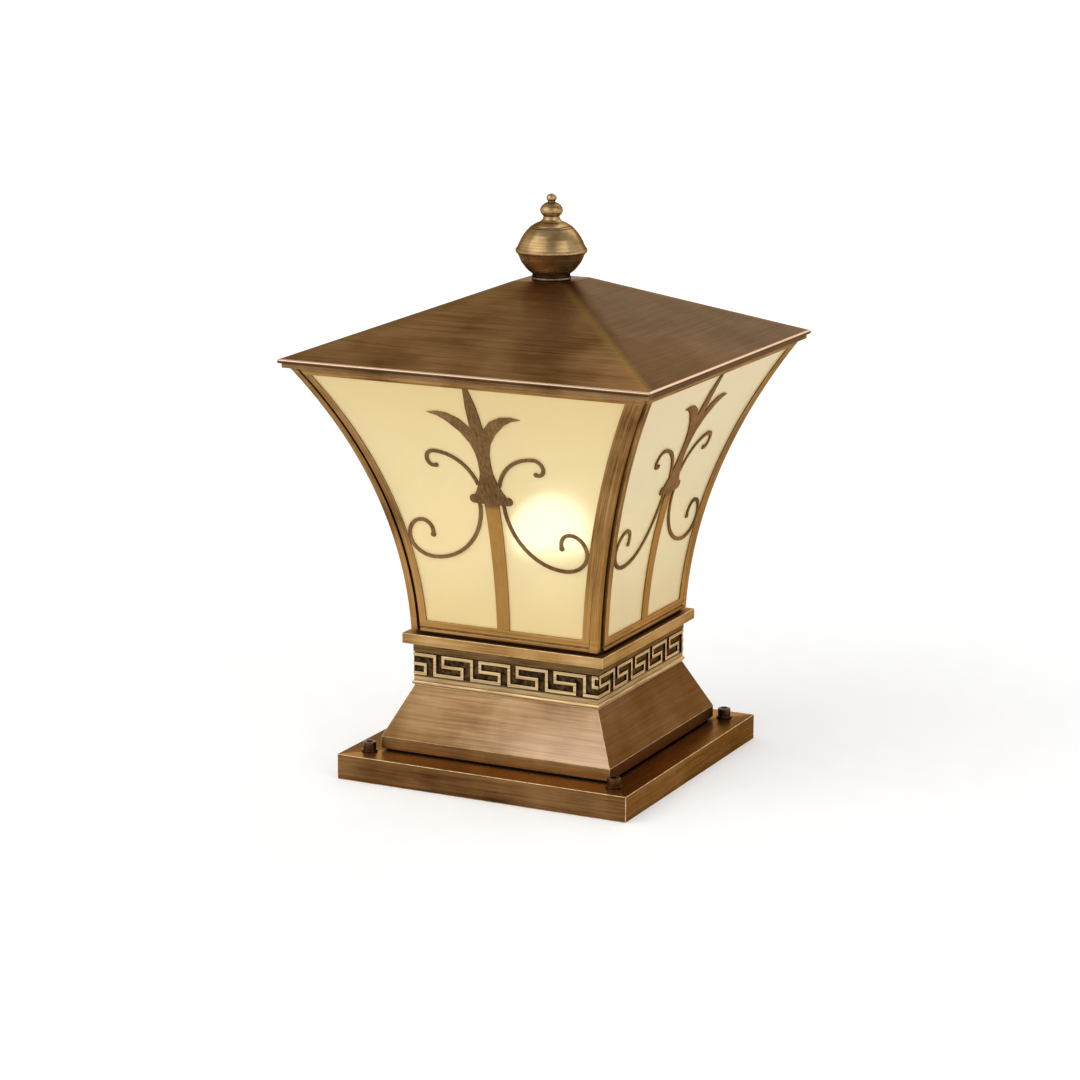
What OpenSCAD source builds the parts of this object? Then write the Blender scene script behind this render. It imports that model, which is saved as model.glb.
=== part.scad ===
// Pillar light: a square copper-toned lantern with four curved glass panels on a
// stepped pedestal. The origin is the middle of the base plate's underside.

/* [Base plate] */
// Width of the square base plate
base_w = 240; // [220:1:280]
// Height of the folded base plate
base_h = 19.6; // [16:0.1:30]
// Sheet thickness of the base plate
base_t = 2; // [1.5:0.5:3]
// Width of the flange folded in under the base plate
base_flange = 9; // [8:1:11]
// Distance between the mounting screws, centre to centre
screw_pitch = 204; // [200:1:204]
// Radius of the mounting screws' thread
screw_r = 3; // [2.5:0.5:3]
// Length of the mounting screws under the head
screw_l = 18; // [12:1:19]
// Radius of the cable hole in the grommet
inlet_r = 5; // [3:0.5:6]

/* [Pedestal] */
// Thickness of the rubber gasket between base plate and skirt
gasket_t = 1.6; // [1:0.1:4]
// Width of the skirt at its foot
skirt_foot_w = 190.8; // [180:0.2:194]
// Height of the upright lip at the skirt's foot
skirt_lip_h = 9.1; // [5:0.1:12]
// Height of the skirt's sloping part
skirt_slope_h = 38.1; // [30:0.1:50]
// Sheet thickness of skirt, frieze core and collar
sheet_t = 1.5; // [1:0.5:2]
// Width of the frieze over its strips
frieze_w = 154.6; // [150:0.2:160]
// Height of the frieze
frieze_h = 33.5; // [32:0.1:44]
// Thickness of the frieze strips
strip_t = 2; // [1.6:0.1:3]
// Depth of the field behind the key pattern
key_depth = 1; // [0.5:0.1:1.2]
// Width of the bars in the key pattern
key_bar = 2.3; // [1.5:0.1:3]
// Repeats of the key pattern along one side
key_repeats = 4.94; // [3:0.01:6]
// Height of the key pattern over its bars
key_h = 16.7; // [14:0.1:20]
// Overhang of the collar over the frieze on each side
collar_over = 6.3; // [3:0.1:10]
// Height of the collar's folded edge
collar_h = 8; // [5:0.1:12]
// Radius of the hole in the collar for the lamp
collar_hole_r = 30; // [28:0.5:34]

/* [Lantern] */
// Height of the curved lantern body
lantern_h = 205; // [180:1:215]
// Overhang of the lantern's foot over the frieze on each side
foot_over = 1.75; // [1:0.05:3.7]
// Radius of the curve of the four sides
arc_r = 418; // [400:1:480]
// Thickness of the shadow gap under the lantern
ring_t = 2.1; // [1.5:0.1:4]
// Thickness of corner posts and panel frames
frame_t = 5; // [4:0.1:6]
// Width of a panel frame's side bars
stile_w = 6; // [5:0.1:8]
// Height of a panel frame's bottom rail
sill_h = 8.8; // [7:0.1:12]
// Height of a panel frame's top rail
head_h = 4.4; // [3.5:0.1:7]
// Width of a corner post's outer strip
post_w = 6.6; // [5.5:0.1:8]
// Distance from a corner post's edge to the next side's outer face
post_set = 2; // [1.5:0.1:3]
// Thickness of the frame's lip in front of the glass
lip_t = 1.3; // [1:0.1:1.6]
// Overlap of the glass behind the lip
glass_lap = 3; // [2:0.1:3.5]
// Thickness of the glass
glass_t = 3; // [2:0.1:3]
// Thickness of the top ring
top_ring_t = 2; // [1.5:0.5:3]
// Gap between the top ring and the roof's lip
ring_gap = 2.7; // [1:0.1:5]

/* [Ornament] */
// Thickness of the ornament sheet
ornament_t = 1.1; // [0.8:0.1:1.1]
// Width of the scroll bars
scroll_w = 2.8; // [2:0.1:4]
// Half width of the stem at its foot
stem_foot = 5.1; // [3:0.1:7]
// Half width of the stem under the cup
stem_top = 5.9; // [3:0.1:7]

/* [Roof] */
// Width of the roof over its eaves
roof_w = 300; // [298:1:310]
// Overhang of the roof's eaves over the lantern's head on each side
eave_over = 6.4; // [6:0.1:9]
// Height from the eaves' upper edge to the flat top
roof_rise = 49.8; // [45:0.1:70]
// Width of the flat top
roof_top_w = 42.4; // [34:0.1:44]
// Sheet thickness of the roof
roof_t = 1.5; // [1:0.1:2]
// Radius of the rolled bead along the eaves
bead_r = 1.6; // [1.5:0.1:2.6]
// Height of the eaves from the lip's lower edge to the roof's face
eave_h = 6; // [5.5:0.1:8]
// Gap between the lip's lower edge and the lantern's top edge
eave_gap = 0.3; // [0.2:0.1:1]
// Radius of the threaded roof stud
stud_r = 4; // [3:0.5:4]

/* [Finial] */
// Radius of the finial's ball over its band
finial_r = 26.9; // [25:0.1:30]
// Wall thickness of the hollow ball
finial_wall = 1.4; // [1:0.1:2]
// Radius of the foot flange
finial_foot_r = 14.8; // [14:0.1:18]
// Radius of the knob's ball
knob_r = 8.5; // [7:0.1:10]
// Radius of the knob's round tip
tip_r = 3.9; // [3:0.1:4.5]

/* [Lamp] */
// Radius of the lampholder's porcelain body
holder_r = 23; // [21:0.5:25]
// Height of the lampholder
holder_h = 44; // [40:1:46]
// Radius of the bulb's screw cap
cap_r = 13.1; // [12.5:0.1:13.2]
// Radius of the bulb's globe
globe_r = 30; // [25:0.5:32]
// Length of the bulb from contact to tip
bulb_l = 108; // [100:1:112]

/* [Hidden] */
$fn = 96;
// Small overlap that keeps cuts clean
eps = 0.01;
// Clearance between pieces that slide into each other
fit = 0.2;

// Levels of the pedestal, from the base plate's underside
gasket_z = base_h;
skirt_z = gasket_z + gasket_t;
slope_z = skirt_z + skirt_lip_h;
frieze_z = slope_z + skirt_slope_h;
collar_z = frieze_z + frieze_h;
ring_z = collar_z + collar_h;
foot_z = ring_z + ring_t;
head_z = foot_z + lantern_h;
top_z = head_z + top_ring_t;

// Widths that follow from the frieze and the roof
foot_w = frieze_w + 2*foot_over;
collar_w = frieze_w + 2*collar_over;
head_w = roof_w - 2*eave_over;

// The lantern's sides are arcs from foot to head, each centred outside and below its side
arc_run = (head_w - foot_w)/2;
arc_chord = norm([arc_run, lantern_h]);
arc_far = sqrt(arc_r*arc_r - arc_chord*arc_chord/4);
arc_x = (foot_w + head_w)/4 + arc_far*lantern_h/arc_chord;
arc_z = foot_z + lantern_h/2 - arc_far*arc_run/arc_chord;
arc_steps = 20;
// Distance from the axis that every side piece stays within
reach = head_w/2 + 40;
function side_x(z) = arc_x - sqrt(arc_r*arc_r - (z - arc_z)*(z - arc_z));

// Insets from the lantern's outer faces
frame_inset = post_set + post_w;
window_inset = frame_inset + stile_w;
glass_inset = window_inset - glass_lap;
window_z1 = foot_z + sill_h;
window_z2 = head_z - head_h;
block_in = window_inset;
block_screw_x = head_w/2 - (block_in + frame_t + fit/2)/2 - 1;
ring_screw_r = 1.9;
pan_r = 3.5;
pan_h = 2.4;
glass_d = lip_t + fit/2;

// Pedestal sizes that follow from the widths above
skirt_top_w = frieze_w - 2*0.6;
core_w = frieze_w - 2*strip_t;
gasket_w = skirt_foot_w - 6;
gasket_hole_w = gasket_w - 16;
skirt_flange = 4;
tie_x = foot_w/2 - 25;
tie_r = 2.5;
ring_inner = tie_x - 6;
plate_hole_r = 9;

// Field and rails of the frieze
key_z1 = frieze_z + 8.7;
key_z2 = key_z1 + key_h;
bead_rail_r = 1.7;
bead_rail_in = 0.8;
field_gap = 0.9;
rail_set = 0.4;
bead_rail_z = frieze_z + 2.5;

// Roof levels
eave_z = head_z + eave_gap + eave_h;
roof_top_z = eave_z + roof_rise;
roof_slope = roof_rise/((roof_w - roof_top_w)/2);
roof_tilt = sqrt(1 + roof_slope*roof_slope);
bead_x = roof_w/2 - bead_r;
bead_lift = 0.2;
bead_z = eave_z + roof_slope*bead_r - bead_r*roof_tilt + bead_lift;
lip_x = bead_x - 1.2;
top_ring_w = 2*(lip_x - roof_t - ring_gap);
seat_gap = 4.2;
seat_w = 2*(lip_x - roof_t - seat_gap);
seat_bar = 4;
bar_t = 3;
bar_w = 24;
bar_z = top_z;
ring_screw_in = 8.3;
top_ring_in = block_screw_x - ring_screw_in;
bar_lap = 7;
bar_l = top_ring_in + bar_lap;
bar_screw_x = bar_l - 5;
bar_screw_r = 2.1;
nut_h = 6.5;
nut_af = 13;

// Finial levels
washer_t = 0.8;
finial_z = roof_top_z + washer_t;
spindle_r = 6.5;
flange_t = 1.2;
neck_h = 3.2;
bowl_z = finial_z + flange_t + neck_h;
band_z = bowl_z + 13.5;
band_h = 4.6;
dome_z = band_z + band_h;
dome_h = 15.2;
knob_z = dome_z + dome_h;
stud_top = finial_z + 17;

// Lamp levels
bracket_t = 2;
bracket_z = ring_z - 26;
holder_z = bracket_z + bracket_t;
contact_z = holder_z + 14;
contact_t = 1.6;
shell_t = 0.5;
shell_r = cap_r + 0.5;
cap_z = contact_z + contact_t;
cap_h = 25;
shell_z = contact_z + 3;
shell_h = cap_z + cap_h - shell_z - 1.5;
globe_z = contact_z + bulb_l - globe_r;
bracket_leg_x = holder_r + 9;
bracket_w = 24;
foot_screw_x = bracket_leg_x + 10;
holder_screw_x = 16;
mouth_h = 5;
mouth_gap = 1.5;

// Places of the terminal block and the earth screw on the base plate
block_x = -46;
block_w = 20;
block_l = 36;
block_h = 14;
block_pitch = 11;
block_hole_z = 4.4;
earth_y = 40;

// Side k of four, counted anticlockwise from the front
module turned(k) {
    rotate([0, 0, 90*k]) children();
}

// Slab that follows the front face, between two depths behind it
module front_slab(d1, d2, z1, z2) {
    translate([-reach, 0, 0])
        rotate([90, 0, 90])
            linear_extrude(2*reach)
                difference() {
                    intersection() {
                        translate([-reach, z1]) square([reach, z2 - z1]);
                        translate([-(arc_x - d2), arc_z]) circle(arc_r, $fn = 360);
                    }
                    translate([-(arc_x - d1), arc_z]) circle(arc_r, $fn = 360);
                }
}

// Outline between two side curves, each inset from the neighbouring outer face
module side_outline(left, right, z1, z2) {
    step = (z2 - z1)/arc_steps;
    rise = [for (i = [0:arc_steps]) [side_x(z1 + i*step) - right, z1 + i*step]];
    fall = [for (i = [arc_steps:-1:0]) [-(side_x(z1 + i*step) - left), z1 + i*step]];
    polygon(concat(rise, fall));
}

// Straight prism through the front side, from the outline above
module front_prism(left, right, z1, z2) {
    rotate([90, 0, 0])
        linear_extrude(reach)
            side_outline(left, right, z1, z2);
}

// Strip of the front side between two insets from the right neighbour's face
module right_strip_prism(inner, outer, z1, z2) {
    step = (z2 - z1)/arc_steps;
    rise = [for (i = [0:arc_steps]) [side_x(z1 + i*step) - outer, z1 + i*step]];
    fall = [for (i = [arc_steps:-1:0]) [side_x(z1 + i*step) - inner, z1 + i*step]];
    rotate([90, 0, 0])
        linear_extrude(reach)
            polygon(concat(rise, fall));
}

// Square box centred on the axis
module square_box(w, z1, z2) {
    translate([-w/2, -w/2, z1]) cube([w, w, z2 - z1]);
}

// Four-sided frustum on the axis
module frustum(w1, w2, z1, z2) {
    a = w1/2;
    b = w2/2;
    polyhedron(
        points = [
            [-a, -a, z1], [a, -a, z1], [a, a, z1], [-a, a, z1],
            [-b, -b, z2], [b, -b, z2], [b, b, z2], [-b, b, z2]
        ],
        faces = [
            [0, 1, 2, 3], [7, 6, 5, 4],
            [0, 4, 5, 1], [1, 5, 6, 2], [2, 6, 7, 3], [3, 7, 4, 0]
        ]
    );
}

module at_corners(x) {
    for (sx = [-1, 1], sy = [-1, 1])
        translate([sx*x, sy*x, 0]) children();
}

// Base plate, screws, gasket

module base_plate() color("saddlebrown") {
    difference() {
        square_box(base_w, 0, base_h);
        square_box(base_w - 2*base_t, base_t, base_h - base_t);
        square_box(base_w - 2*base_flange, -1, base_t + eps);
        at_corners(screw_pitch/2)
            translate([0, 0, base_h - base_t - 1]) cylinder(r = screw_r + 0.4, h = base_t + 2);
        at_corners(tie_x)
            translate([0, 0, base_h - base_t - 1]) cylinder(r = tie_r + 0.3, h = base_t + 2);
        translate([0, 0, base_h - base_t - 1]) cylinder(r = plate_hole_r, h = base_t + 2);
        translate([block_x, earth_y, base_h - base_t - 1]) cylinder(r = ring_screw_r + 0.2, h = base_t + 2);
    }
}

washer_z = base_h;
washer_h = 1.6;
head_r = 5/3*screw_r;
// The thread ends under the base plate's sheet, and a slightly thinner neck runs up to the head
neck_z = base_h - base_t;
neck_cut = 0.2;

module mounting_screws() color("dimgray") {
    at_corners(screw_pitch/2) {
        difference() {
            union() {
                translate([0, 0, washer_z + washer_h]) cylinder(r = head_r, h = 2*screw_r - 0.6);
                translate([0, 0, washer_z + washer_h + 2*screw_r - 0.6])
                    cylinder(r1 = head_r, r2 = head_r - 0.6, h = 0.6);
            }
            translate([0, 0, washer_z + washer_h + screw_r])
                cylinder(r = screw_r*0.96, h = screw_r + 1, $fn = 6);
        }
        translate([0, 0, washer_z + washer_h - screw_l])
            cylinder(r = screw_r, h = neck_z - washer_z - washer_h + screw_l);
        translate([0, 0, neck_z - eps])
            cylinder(r = screw_r - neck_cut, h = washer_z + washer_h - neck_z + eps);
    }
}

module screw_washers() color("gray") {
    at_corners(screw_pitch/2)
        translate([0, 0, washer_z])
            difference() {
                cylinder(r = 2*screw_r, h = washer_h);
                translate([0, 0, -1]) cylinder(r = screw_r + fit, h = washer_h + 2);
            }
}

module base_gasket() color("black") {
    difference() {
        square_box(gasket_w, gasket_z, skirt_z);
        square_box(gasket_hole_w, gasket_z - 1, skirt_z + 1);
    }
}

// Pedestal sheets

module skirt() color("sienna") {
    foot_in = skirt_foot_w - 2*sheet_t;
    difference() {
        union() {
            square_box(skirt_foot_w, skirt_z, slope_z);
            frustum(skirt_foot_w, skirt_top_w, slope_z - eps, frieze_z);
        }
        square_box(foot_in, skirt_z + sheet_t, slope_z);
        frustum(foot_in, skirt_top_w - 2*sheet_t, slope_z - sheet_t/2, frieze_z - sheet_t);
        square_box(gasket_hole_w, skirt_z - 1, skirt_z + sheet_t + eps);
        square_box(core_w - 2*sheet_t - 2*skirt_flange, frieze_z - 2*sheet_t, frieze_z + 1);
    }
}

module frieze_core() color("saddlebrown") {
    difference() {
        square_box(core_w, frieze_z, ring_z - sheet_t);
        square_box(core_w - 2*sheet_t, frieze_z - 1, ring_z);
    }
}

// Start of the pattern on each side, as a share of its pitch
key_phase = [0.58, 0.88, 0.58, 0.88];

// Centre line of the running key pattern: one line that turns only by right angles
function key_line(k) =
    let (
        pitch = frieze_w/key_repeats,
        start = -frieze_w/2 + key_phase[k]*pitch,
        low = key_z1 + key_bar/2,
        high = key_z2 - key_bar/2,
        mid = (low + high)/2
    ) [
        for (i = [-2:ceil(key_repeats)])
            let (x0 = start + i*pitch, xa = x0 + 0.742*pitch, xb = x0 + 0.224*pitch)
                each [[x0, high], [x0, low], [xa, low], [xa, mid], [xb, mid], [xb, high]]
    ];

// Shift of the line's corner i to one side, by half a bar along each of its two legs
function key_corner(p, i, side) =
    let (
        d1 = (p[i] - p[i - 1])/norm(p[i] - p[i - 1]),
        d2 = (p[i + 1] - p[i])/norm(p[i + 1] - p[i])
    ) p[i] + side*key_bar/2*[-d1[1] - d2[1], d1[0] + d2[0]];

// The pattern's bars, as one outline on both sides of that line
module key_bars(k) {
    p = key_line(k);
    last = len(p) - 2;
    polygon(concat(
        [for (i = [1:last]) key_corner(p, i, 1)],
        [for (i = [last:-1:1]) key_corner(p, i, -1)]
    ));
}

// Plan of one strip, mitred at both ends, with room in front for the bead
module mitre_prism(out) {
    a = frieze_w/2 + out;
    b = frieze_w/2 - strip_t;
    translate([0, 0, frieze_z])
        linear_extrude(frieze_h)
            polygon([[-a, -a], [a, -a], [b, -b], [-b, -b]]);
}

// Cross-section of one strip: a plate with a bead, a foot rebate and a rail set back under the keys
module strip_section() {
    face = frieze_w/2;
    difference() {
        translate([-face, frieze_z]) square([strip_t, frieze_h]);
        translate([-face - 1, frieze_z - 1]) square([1.6, 1.8]);
        translate([-face - 1, bead_rail_z]) square([1 + rail_set, key_z1 - bead_rail_z]);
    }
    translate([-face + bead_rail_in, bead_rail_z]) circle(bead_rail_r);
}

module frieze_strip(k) color("peru") {
    face = frieze_w/2;
    turned(k)
        difference() {
            intersection() {
                mitre_prism(2);
                translate([-face - 3, 0, 0])
                    rotate([90, 0, 90]) linear_extrude(2*face + 6) strip_section();
            }
            translate([0, -face + key_depth, 0])
                rotate([90, 0, 0])
                    linear_extrude(key_depth + 1)
                        difference() {
                            translate([-face - 3, key_z1])
                                square([2*face + 6, key_h + field_gap]);
                            key_bars(k);
                        }
        }
}

module collar() color("peru") {
    difference() {
        square_box(collar_w, collar_z, ring_z);
        square_box(collar_w - 2*sheet_t, collar_z - 1, ring_z - sheet_t);
        translate([0, 0, ring_z - 3]) cylinder(r = collar_hole_r, h = 5);
        at_corners(tie_x)
            translate([0, 0, ring_z - 3]) cylinder(r = tie_r + 0.3, h = 5);
        for (s = [-1, 1])
            translate([s*foot_screw_x, 0, ring_z - 3]) cylinder(r = 2.2, h = 5);
    }
}

module lantern_ring() color("black") {
    difference() {
        square_box(foot_w - 7, ring_z, foot_z);
        square_box(2*ring_inner, ring_z - 1, foot_z + 1);
        at_corners(tie_x)
            translate([0, 0, ring_z - 1]) cylinder(r = tie_r + 0.3, h = ring_t + 2);
    }
}

module tie_rods() color("silver") {
    at_corners(tie_x)
        translate([0, 0, base_h - base_t - 7]) cylinder(r = tie_r, h = foot_z - base_h + base_t + 14);
}

module hex_nut(af, h, bore) {
    difference() {
        cylinder(r = af/2/cos(30), h = h, $fn = 6);
        translate([0, 0, -1]) cylinder(r = bore, h = h + 2);
    }
}

module tie_nuts() color("silver") {
    at_corners(tie_x) {
        translate([0, 0, foot_z]) hex_nut(8, 4, tie_r + 0.1);
        translate([0, 0, base_h - base_t - 4]) hex_nut(8, 4, tie_r + 0.1);
    }
}

// Lantern: posts, frames, glass, ornaments

// One post stands at the right end of side k and laps the next side's frame
module corner_post(k) color("saddlebrown") {
    inner = frame_t + fit/2;
    turned(k)
        difference() {
            union() {
                intersection() {
                    front_slab(0, frame_t + fit, foot_z, head_z);
                    right_strip_prism(frame_inset - fit/2, post_set, foot_z, head_z);
                }
                intersection() {
                    front_slab(inner, block_in, foot_z, head_z);
                    right_strip_prism(block_in, inner, foot_z, head_z);
                }
            }
            translate([block_screw_x, -block_screw_x, head_z - 5]) cylinder(r = ring_screw_r + 0.05, h = 6);
        }
}

module panel_frame(k) color("sienna") {
    edge = frame_inset + fit/2;
    groove_z = foot_z + 2.5;
    turned(k)
        difference() {
            intersection() {
                front_slab(0, frame_t, foot_z, head_z);
                front_prism(edge, edge, foot_z, head_z);
            }
            front_prism(window_inset, window_inset, window_z1, window_z2);
            intersection() {
                front_slab(lip_t, frame_t + 2, window_z1 - glass_lap, window_z2 + glass_lap - 0.5);
                front_prism(glass_inset, glass_inset, window_z1 - glass_lap, window_z2 + glass_lap - 0.5);
            }
            intersection() {
                front_slab(-2, 1.2, groove_z, groove_z + 1.2);
                front_prism(edge - 1, edge - 1, groove_z, groove_z + 1.2);
            }
        }
}

module glass_panel(k) color("khaki") {
    z1 = window_z1 - glass_lap + fit;
    z2 = window_z2 + glass_lap - 0.5 - fit;
    turned(k)
        intersection() {
            front_slab(glass_d, glass_d + glass_t, z1, z2);
            front_prism(glass_inset + fit, glass_inset + fit, z1, z2);
        }
}

// Points on an elliptic arc: centre, radii, start and end angle
function arc(c, rx, rz, a0, a1, n = 8) =
    [for (i = [0:n]) let (a = a0 + (a1 - a0)*i/n) [c[0] + rx*cos(a), c[1] + rz*sin(a)]];

// Unit normal of a path at point i
function path_normal(p, i) =
    let (
        a = p[max(i - 1, 0)],
        b = p[min(i + 1, len(p) - 1)],
        d = b - a
    ) [-d[1], d[0]]/norm(d);

// Band of even width along a path, with a round eye at its end
module ribbon(p, w, eye) {
    n = len(p);
    left = [for (i = [0:n - 1]) p[i] + path_normal(p, i)*w/2];
    right = [for (i = [n - 1:-1:0]) p[i] - path_normal(p, i)*w/2];
    polygon(concat(left, right));
    translate(p[n - 1]) circle(eye, $fn = 24);
}

// Heights of the ornament's parts above the window's lower edge
cup_z = 99;
cup_h = 18;
cup_x = 14.2;
cup_knob_z = 3.6;
cup_knob_r = 3.3;
waist_z = 133;
notch_z = 159.4;
leaf_z = 170.5;
span_z = window_z2 - window_z1;

// Upper scroll: one wide arc out of the cup, then a small curl
upper_scroll = concat(
    arc([40.5, cup_z + 6.4], 33, 33, 165, 90, 9),
    arc([40.5, cup_z + 32.7], 7, 6.7, 80, 0, 5),
    arc([42.8, cup_z + 32.7], 4.7, 5.4, -12, -115, 5)
);

// Lower scroll: a wide quarter turn down and out to the side bar, then back up into a curl
curl_z = cup_z - 31.6;
curl_x = side_x(window_z1 + curl_z) - window_inset - 2*fit - scroll_w/2;
lower_scroll = concat(
    arc([54, cup_z + 0.6], 44.3, 47.8, 180, 270, 12),
    arc([54, curl_z], curl_x - 54, 15.6, -80, 0, 6),
    arc([61, curl_z], curl_x - 61, 13.6, 10, 90, 6),
    arc([61, curl_z + 4.6], 8.3, 9, 100, 195, 6)
);

// Half of the trunk and leaves, from the cup's rim up to the middle tip
trunk_half = [
    [11.3, cup_z + 9], [7.2, cup_z + cup_h], [5.2, cup_z + cup_h + 7], [5, waist_z],
    [5.6, waist_z + 6.5], [8.2, waist_z + 14.5], [14.2, waist_z + 23.2],
    [23.4, waist_z + 31.4], [30, waist_z + 35], [37.8, leaf_z - 0.4],
    [30, leaf_z + 1], [21.5, leaf_z + 0.2], [12.4, leaf_z - 3.8], [5.3, notch_z],
    [4.4, notch_z + 17], [1.7, span_z + 1]
];

module ornament_half() {
    polygon([[0, -1], [stem_foot, -1], [stem_top, cup_z + 1], [0, cup_z + 1]]);
    polygon([
        [0, cup_z], [cup_x - cup_knob_r, cup_z], [cup_x, cup_z + cup_knob_z - cup_knob_r],
        [cup_x, cup_z + cup_knob_z], [11.6, cup_z + 9.2], [0, cup_z + 9.2]
    ]);
    translate([cup_x, cup_z + cup_knob_z]) circle(cup_knob_r, $fn = 24);
    polygon(concat([[0, cup_z + 8]], trunk_half, [[0, span_z + 1]]));
    ribbon(upper_scroll, scroll_w, 1.8);
    ribbon(lower_scroll, scroll_w, 2);
}

module ornament(k) color("darkgoldenrod") {
    front = glass_d - ornament_t - 0.1;
    turned(k)
        intersection() {
            front_slab(front, front + ornament_t, window_z1 + 0.1, window_z2 - 0.1);
            translate([0, 0, window_z1])
                rotate([90, 0, 0])
                    linear_extrude(reach) {
                        ornament_half();
                        mirror([1, 0]) ornament_half();
                    }
        }
}

// Small angles that hold the glass in its rebate, four to a side
module glass_clips() color("silver") {
    back = glass_d + glass_t;
    for (k = [0:3], zc = [window_z1 + 30, window_z2 - 30], s = [-1, 1])
        turned(k)
            intersection() {
                front_slab(back + 0.1, back + 1.3, zc - 6, zc + 6);
                rotate([90, 0, 0])
                    linear_extrude(reach)
                        mirror([s < 0 ? 1 : 0, 0])
                            polygon([
                                [side_x(zc - 6) - glass_inset - 5, zc - 6],
                                [side_x(zc - 6) - block_in - fit, zc - 6],
                                [side_x(zc + 6) - block_in - fit, zc + 6],
                                [side_x(zc + 6) - glass_inset - 5, zc + 6]
                            ]);
            }
}

// Top ring, crossbar and stud

module top_ring() color("saddlebrown") {
    difference() {
        square_box(top_ring_w, head_z, top_z);
        square_box(2*top_ring_in, head_z - 1, top_z + 1);
        at_corners(block_screw_x)
            translate([0, 0, head_z - 1]) cylinder(r = 2.2, h = top_ring_t + 2);
        for (s = [-1, 1])
            translate([s*bar_screw_x, 0, head_z - 1]) cylinder(r = bar_screw_r, h = top_ring_t + 2);
    }
}

module pan_screw(shank) {
    difference() {
        cylinder(r = pan_r, h = pan_h);
        translate([-pan_r + 0.5, -0.45, pan_h - 1]) cube([2*pan_r - 1, 0.9, 2]);
        translate([-0.45, -pan_r + 0.5, pan_h - 1]) cube([0.9, 2*pan_r - 1, 2]);
    }
    translate([0, 0, -shank]) cylinder(r = ring_screw_r, h = shank + eps);
}

module top_ring_screws() color("silver") {
    at_corners(block_screw_x)
        translate([0, 0, top_z]) pan_screw(top_ring_t + 4);
}

module crossbar() color("silver") {
    difference() {
        translate([-bar_l, -bar_w/2, bar_z]) cube([2*bar_l, bar_w, bar_t]);
        translate([0, 0, bar_z - 1]) cylinder(r = stud_r + 0.3, h = bar_t + 2);
        for (s = [-1, 1])
            translate([s*bar_screw_x, 0, bar_z - 1]) cylinder(r = bar_screw_r, h = bar_t + 2);
    }
}

module crossbar_screws() color("silver") {
    for (s = [-1, 1])
        translate([s*bar_screw_x, 0, bar_z + bar_t]) pan_screw(bar_t + top_ring_t);
}

module roof_stud() color("silver") {
    translate([0, 0, bar_z - nut_h - 2]) cylinder(r = stud_r, h = stud_top - bar_z + nut_h + 1);
    translate([0, 0, stud_top - 1]) cylinder(r1 = stud_r, r2 = stud_r - 1, h = 1);
}

module stud_nuts() color("silver") {
    translate([0, 0, bar_z - nut_h]) hex_nut(nut_af, nut_h, stud_r + 0.1);
    translate([0, 0, bar_z + bar_t]) hex_nut(nut_af, nut_h, stud_r + 0.1);
}

// Roof

// Height of the roof's outer face at a distance from the axis
function roof_face(x) = eave_z + roof_slope*(roof_w/2 - x);

module roof() color("brown") {
    lip_in = lip_x - roof_t;
    under = roof_t*roof_tilt;
    inner_top_z = roof_top_z - roof_t;
    inner_top_x = roof_w/2 - (inner_top_z + under - eave_z)/roof_slope;
    difference() {
        union() {
            frustum(2*bead_x, roof_top_w, roof_face(bead_x), roof_top_z);
            square_box(2*bead_x, bead_z, roof_face(bead_x) + eps);
            square_box(2*lip_x, head_z + eave_gap, bead_z + eps);
            for (k = [0:3])
                turned(k)
                    translate([-bead_x, -bead_x, bead_z])
                        rotate([0, 90, 0]) cylinder(r = bead_r, h = 2*bead_x);
            at_corners(bead_x)
                translate([0, 0, bead_z]) sphere(bead_r);
        }
        frustum(2*lip_in, 2*inner_top_x, roof_face(lip_in) - under, inner_top_z);
        square_box(2*lip_in, head_z, roof_face(lip_in) - under + eps);
        translate([0, 0, roof_top_z - 3]) cylinder(r = stud_r + 0.6, h = 5);
    }
}

// Square frame inside the roof that rests on the top ring
module roof_seat() color("silver") {
    seat_top = roof_face(seat_w/2) - roof_t*roof_tilt - 0.1;
    difference() {
        square_box(seat_w, top_z, seat_top);
        square_box(seat_w - 2*seat_bar, top_z - 1, seat_top + 1);
    }
}

// Finial

module tube_ring(r1, r2, z, h) {
    translate([0, 0, z])
        difference() {
            cylinder(r = r2, h = h);
            translate([0, 0, -1]) cylinder(r = r1, h = h + 2);
        }
}

module finial_washer() color("black") {
    tube_ring(stud_r + 0.3, finial_foot_r - 1.5, roof_top_z, washer_t);
}

module finial_spindle() color("goldenrod") {
    difference() {
        union() {
            translate([0, 0, finial_z]) cylinder(r = finial_foot_r, h = flange_t);
            translate([0, 0, finial_z + flange_t - eps])
                cylinder(r = spindle_r, h = knob_z - finial_z - flange_t);
        }
        translate([0, 0, finial_z - 1]) cylinder(r = stud_r + 0.06, h = stud_top - finial_z + 3);
    }
}

module finial_neck() color("goldenrod") {
    tube_ring(spindle_r + 0.05, finial_r - 12.6, finial_z + flange_t, neck_h);
}

// Outline of the lower bowl, radius and height above its foot
bowl_line = [
    [finial_r - 11.5, 0], [finial_r - 9.7, 1.4], [finial_r - 8.1, 3], [finial_r - 6.4, 5.2],
    [finial_r - 4.7, 7.4], [finial_r - 3.5, 9.7], [finial_r - 2.6, 12], [finial_r - 2, 13.5]
];

// Outline of the upper dome, radius and height above the band
dome_line = [
    [finial_r - 1, 0], [finial_r - 1.5, 1.3], [finial_r - 2.3, 2.9], [finial_r - 3.3, 5.1],
    [finial_r - 4.8, 8.1], [finial_r - 6.8, 11.1], [finial_r - 8.7, 13.4], [finial_r - 10.4, 15.2]
];

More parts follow.
